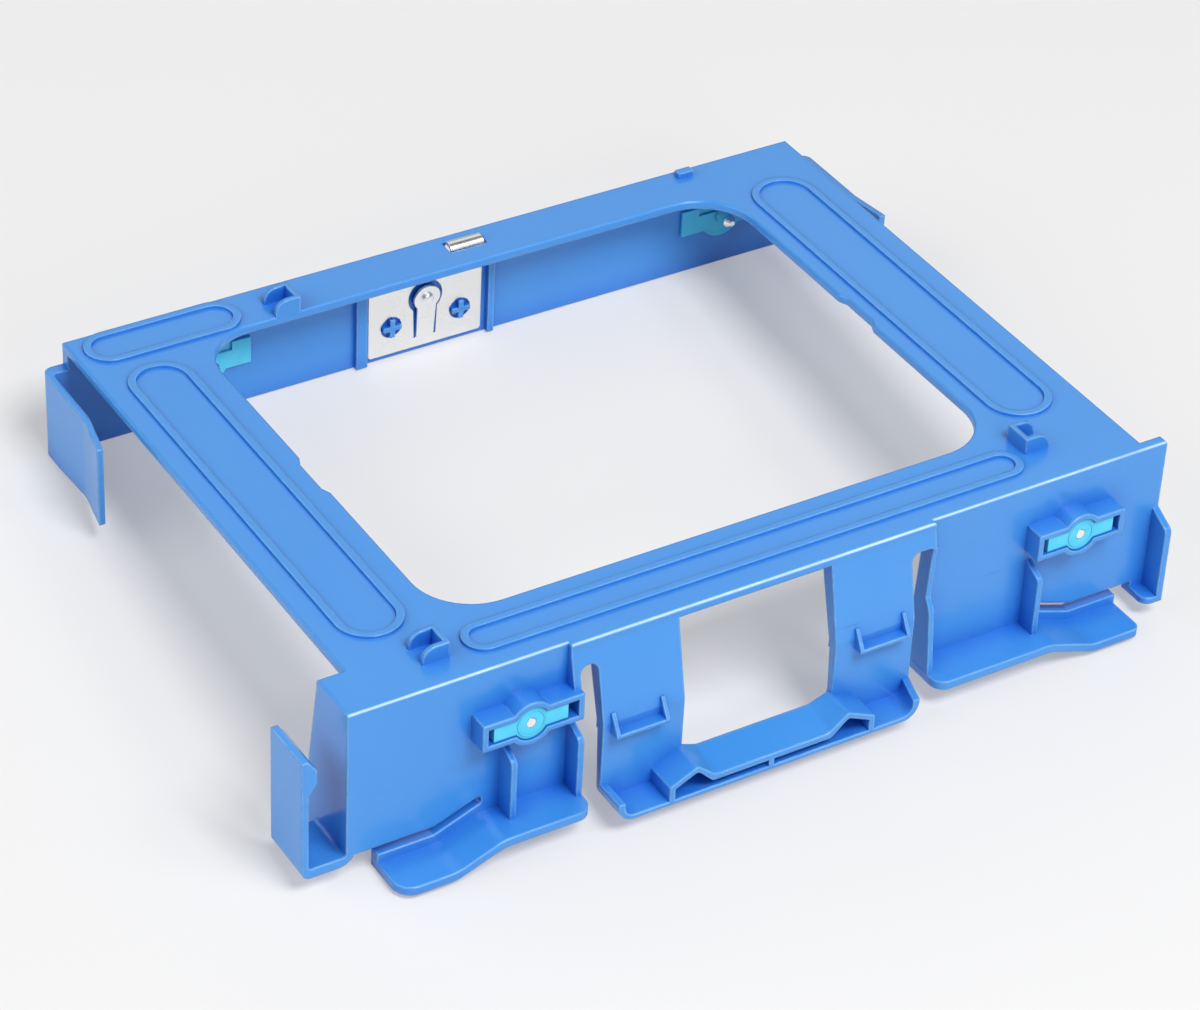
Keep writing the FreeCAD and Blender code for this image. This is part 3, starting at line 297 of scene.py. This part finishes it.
def grommet_rubber():
    """Soft cyan rubber: matt, uneven, paler on its rims, with painted shade beside the ring and the pin."""
    nodes = Nodes("grommet_rubber")
    place = nodes.place()
    normal, edges = nodes.round_edges(RUBBER_ROUND_MM * MM)
    cloud = nodes.noise(place, 320.0, 3.0)
    grain = nodes.noise(place, 3800.0, 2.0)
    pale = nodes.math("MAXIMUM", nodes.span(cloud, 0.35, 0.7, 0.0, 0.5), edges)
    # Painted shade: deeper cyan beside the ring and the pin
    painted_shade = nodes.span(nodes.openness(RUBBER_SHADE_REACH_MM * MM), 0.6, 0.95, 0.9, 0.0)
    colour = nodes.blend(painted_shade, nodes.blend(pale, RUBBER_CYAN, RUBBER_PALE), RUBBER_PAINTED_SHADE)
    nodes.join(colour, nodes.shader.inputs["Base Color"])
    nodes.join(nodes.span(cloud, 0.3, 0.7, 0.48, 0.62), nodes.shader.inputs["Roughness"])
    nodes.join(nodes.bump(grain, 0.2, GRAIN_MM * MM, normal), nodes.shader.inputs["Normal"])
    nodes.fix(Specular_IOR_Level=0.3)
    return nodes.material


def steel(name, draw, rough_low, rough_high, round_mm):
    """Bright steel with fine lines along one axis."""
    nodes = Nodes(name)
    place = nodes.place()
    normal, edges = nodes.round_edges(round_mm * MM)
    lines = nodes.noise(nodes.stretch(place, draw), 5200.0, 4.0, 0.6)
    smudge = nodes.noise(place, 240.0, 3.0)
    tone = nodes.math("MAXIMUM", nodes.span(smudge, 0.4, 0.7, 0.0, 0.6), edges)
    dark = tuple(0.95 * value for value in STEEL)
    nodes.join(nodes.blend(tone, dark, STEEL), nodes.shader.inputs["Base Color"])
    rough = nodes.math(
        "ADD", nodes.span(lines, 0.3, 0.7, rough_low, rough_high), nodes.span(smudge, 0.3, 0.7, 0.0, 0.06)
    )
    nodes.join(rough, nodes.shader.inputs["Roughness"])
    nodes.join(nodes.bump(lines, 0.04, DRAWN_LINE_MM * MM, normal), nodes.shader.inputs["Normal"])
    nodes.fix(Metallic=1.0)
    return nodes.material


def dress_nodes(materials):
    """Gives every CAD node the material of its slot."""
    for part in frame["record"]["subparts"]:
        node = frame["nodes"][part["node"]]
        node.data.materials.clear()
        node.data.materials.append(materials[part["material_slot"]])


def ring_mesh(name, centre, outward):
    """Low rounded ring on a face square to Y."""
    mesh = bmesh.new()
    rows = []
    for step in range(RING_STEPS):
        turn = 2 * math.pi * step / RING_STEPS
        row = []
        for part in range(RING_SECTION_STEPS + 1):
            slant = math.pi * part / RING_SECTION_STEPS
            radius = (RING_RADIUS_MM - RING_HALF_WIDTH_MM * math.cos(slant)) * MM
            rise = (RING_RISE_MM * math.sin(slant) - RING_SINK_MM) * MM
            spot = (
                centre.x + radius * math.cos(turn),
                centre.y + outward * rise,
                centre.z + radius * math.sin(turn),
            )
            row.append(mesh.verts.new(spot))
        rows.append(row)
    for row, following in zip(rows, rows[1:] + rows[:1]):
        for a, b, c, d in zip(row, row[1:], following[1:], following):
            mesh.faces.new((a, b, c, d))
        mesh.faces.new((row[-1], row[0], following[0], following[-1]))
    bmesh.ops.recalc_face_normals(mesh, faces=mesh.faces)
    for face in mesh.faces:
        face.smooth = True
    data = bpy.data.meshes.new(name)
    mesh.to_mesh(data)
    mesh.free()
    return data


def add_grommet_rings(material):
    for wall, outward in (("front", -1), ("rear", 1)):
        for side in ("left", "right"):
            pin_low, pin_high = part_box(f"drive_pin_{wall}_{side}")
            low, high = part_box(f"grommet_{wall}_{side}")
            centre = (pin_low + pin_high) / 2
            centre.y = low.y if outward < 0 else high.y
            name = f"grommet_ring_{wall}_{side}"
            ring = bpy.data.objects.new(name, ring_mesh(name, centre, outward))
            bpy.context.scene.collection.objects.link(ring)
            ring.data.materials.append(material)
            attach(ring, "root")


def dome_mesh(name):
    """Low dome on the front face of the tongue, closed at its foot."""
    mesh = bmesh.new()
    tip = mesh.verts.new((0.0, 0.0, CONTACT_RISE_MM * MM))
    rows = []
    for row in range(CONTACT_ROWS):
        slant = math.pi / 2 * row / CONTACT_ROWS
        radius = CONTACT_RADIUS_MM * math.cos(slant) * MM
        rise = CONTACT_RISE_MM * math.sin(slant) * MM
        turns = [2 * math.pi * step / CONTACT_STEPS for step in range(CONTACT_STEPS)]
        rows.append([mesh.verts.new((radius * math.cos(a), radius * math.sin(a), rise)) for a in turns])
    for row, above in zip(rows, rows[1:]):
        for a, b, c, d in zip(row, row[1:] + row[:1], above[1:] + above[:1], above):
            mesh.faces.new((a, b, c, d))
    for a, b in zip(rows[-1], rows[-1][1:] + rows[-1][:1]):
        mesh.faces.new((a, b, tip))
    for face in mesh.faces:
        face.smooth = True
    mesh.faces.new(rows[0][::-1])
    place = Matrix.Translation(Vector(CONTACT_PLACE_MM) * MM)
    mesh.transform(place @ Matrix.Rotation(math.radians(CONTACT_TURN_DEG), 4, "X"))
    data = bpy.data.meshes.new(name)
    mesh.to_mesh(data)
    mesh.free()
    return data


def add_clip_contact(material):
    contact = bpy.data.objects.new("clip_contact", dome_mesh("clip_contact"))
    bpy.context.scene.collection.objects.link(contact)
    contact.data.materials.append(material)
    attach(contact, "root")


def resting_line():
    """The two contact points, as (y, z), on which the part stands with its weight between them."""
    points = sorted({
        (round(vertex.co.y, 6), round(vertex.co.z, 6))
        for node in frame["nodes"].values()
        for vertex in node.data.vertices
    })
    hull = []
    for point in points:
        while len(hull) > 1 and not turns_left(hull[-2], hull[-1], point):
            hull.pop()
        hull.append(point)
    return next((a, b) for a, b in zip(hull, hull[1:]) if a[0] <= 0 < b[0])


def turns_left(first, second, third):
    along = (second[0] - first[0], second[1] - first[1])
    beyond = (third[0] - first[0], third[1] - first[1])
    return along[0] * beyond[1] - along[1] * beyond[0] > 0


def floor_material():
    """Pale matt paper that fades out far from the object."""
    nodes = Nodes("floor_paper")
    tree = nodes.tree
    place = nodes.place()
    tree.nodes.remove(nodes.shader)
    seen = nodes.add("ShaderNodeLightPath")
    direct = nodes.math("MAXIMUM", seen.outputs["Is Camera Ray"], seen.outputs["Is Glossy Ray"])
    direct = nodes.math("MAXIMUM", direct, seen.outputs["Is Transmission Ray"])
    paper = nodes.add("ShaderNodeBsdfDiffuse")
    paper.inputs["Color"].default_value = (*FLOOR_WHITE, 1.0)
    glow = nodes.add("ShaderNodeEmission")
    glow.inputs["Color"].default_value = (*BACKDROP_WHITE, 1.0)
    lift = nodes.math("MULTIPLY", direct, FLOOR_LIFT)
    shown = nodes.add("ShaderNodeMixShader")
    nodes.join(lift, shown.inputs["Fac"])
    nodes.join(paper.outputs["BSDF"], shown.inputs[1])
    nodes.join(glow.outputs["Emission"], shown.inputs[2])
    reach = nodes.add("ShaderNodeVectorMath", operation="LENGTH")
    nodes.join(place, reach.inputs[0])
    gone = nodes.span(reach.outputs["Value"], FADE_START_M, FADE_END_M, 0.0, 1.0)
    clear = nodes.add("ShaderNodeBsdfTransparent")
    fade = nodes.add("ShaderNodeMixShader")
    nodes.join(gone, fade.inputs["Fac"])
    nodes.join(shown.outputs["Shader"], fade.inputs[1])
    nodes.join(clear.outputs["BSDF"], fade.inputs[2])
    nodes.join(fade.outputs["Shader"], nodes.output.inputs["Surface"])
    return nodes.material


def add_floor():
    """Floor under the contact points: the part leans back on its rear wall."""
    front, rear = resting_line()
    data = bpy.data.meshes.new("floor")
    signs = ((-1, -1), (1, -1), (1, 1), (-1, 1))
    data.from_pydata([(FLOOR_HALF_M * x, FLOOR_HALF_M * y, 0.0) for x, y in signs], [], [(0, 1, 2, 3)])
    floor = bpy.data.objects.new("floor", data)
    bpy.context.scene.collection.objects.link(floor)
    slope = (rear[1] - front[1]) / (rear[0] - front[0])
    floor.location = (0.0, 0.0, front[1] - slope * front[0])
    floor.rotation_euler = (math.atan(slope), 0.0, 0.0)
    data.materials.append(floor_material())


def add_light(name, place, size, power):
    data = bpy.data.lights.new(name, "AREA")
    data.shape = "RECTANGLE"
    data.size, data.size_y = size
    data.energy = power
    light = bpy.data.objects.new(name, data)
    light.location = place
    light.rotation_euler = (Vector(LIGHT_TARGET_M) - Vector(place)).to_track_quat("-Z", "Y").to_euler()
    bpy.context.scene.collection.objects.link(light)


def add_world():
    """Weak even light all round, and a pale backdrop for what the camera sees directly."""
    world = bpy.data.worlds.new("studio")
    bpy.context.scene.world = world
    world.use_nodes = True
    tree = world.node_tree
    back = tree.nodes["Background"]
    back.inputs["Color"].default_value = (*BACKDROP_WHITE, 1.0)
    seen = tree.nodes.new("ShaderNodeLightPath")
    shown = tree.nodes.new("ShaderNodeMath")
    shown.operation = "MAXIMUM"
    tree.links.new(seen.outputs["Is Camera Ray"], shown.inputs[0])
    tree.links.new(seen.outputs["Is Transmission Ray"], shown.inputs[1])
    level = tree.nodes.new("ShaderNodeMapRange")
    level.inputs["To Min"].default_value = WORLD_STRENGTH
    level.inputs["To Max"].default_value = 1.0
    tree.links.new(shown.outputs["Value"], level.inputs["Value"])
    tree.links.new(level.outputs["Result"], back.inputs["Strength"])


def add_lights():
    for light in LIGHTS:
        add_light(*light)
    add_world()


def add_camera():
    data = bpy.data.cameras.new("camera")
    data.sensor_width = SENSOR_WIDTH
    data.lens = LENS
    data.shift_x = SHIFT_X
    data.shift_y = SHIFT_Y
    data.clip_start = NEAREST_M
    camera = bpy.data.objects.new("camera", data)
    camera.location = Vector(CAMERA_PLACE_MM) * MM
    camera.rotation_euler = Euler([math.radians(angle) for angle in CAMERA_TURN_DEG])
    bpy.context.scene.collection.objects.link(camera)
    bpy.context.scene.camera = camera


rubber = grommet_rubber()
sheet = steel("clip_steel", (0.05, 1.0, 1.0), 0.24, 0.3, CLIP_ROUND_MM)
dress_nodes({
    "frame_plastic": frame_plastic(),
    "grommet_rubber": rubber,
    "pin_steel": steel("pin_steel", (1.0, 0.2, 1.0), 0.16, 0.26, PIN_ROUND_MM),
    "clip_steel": sheet,
})
add_grommet_rings(rubber)
add_clip_contact(sheet)
add_floor()
add_lights()
add_camera()
bpy.context.scene.view_settings.view_transform = "Standard"
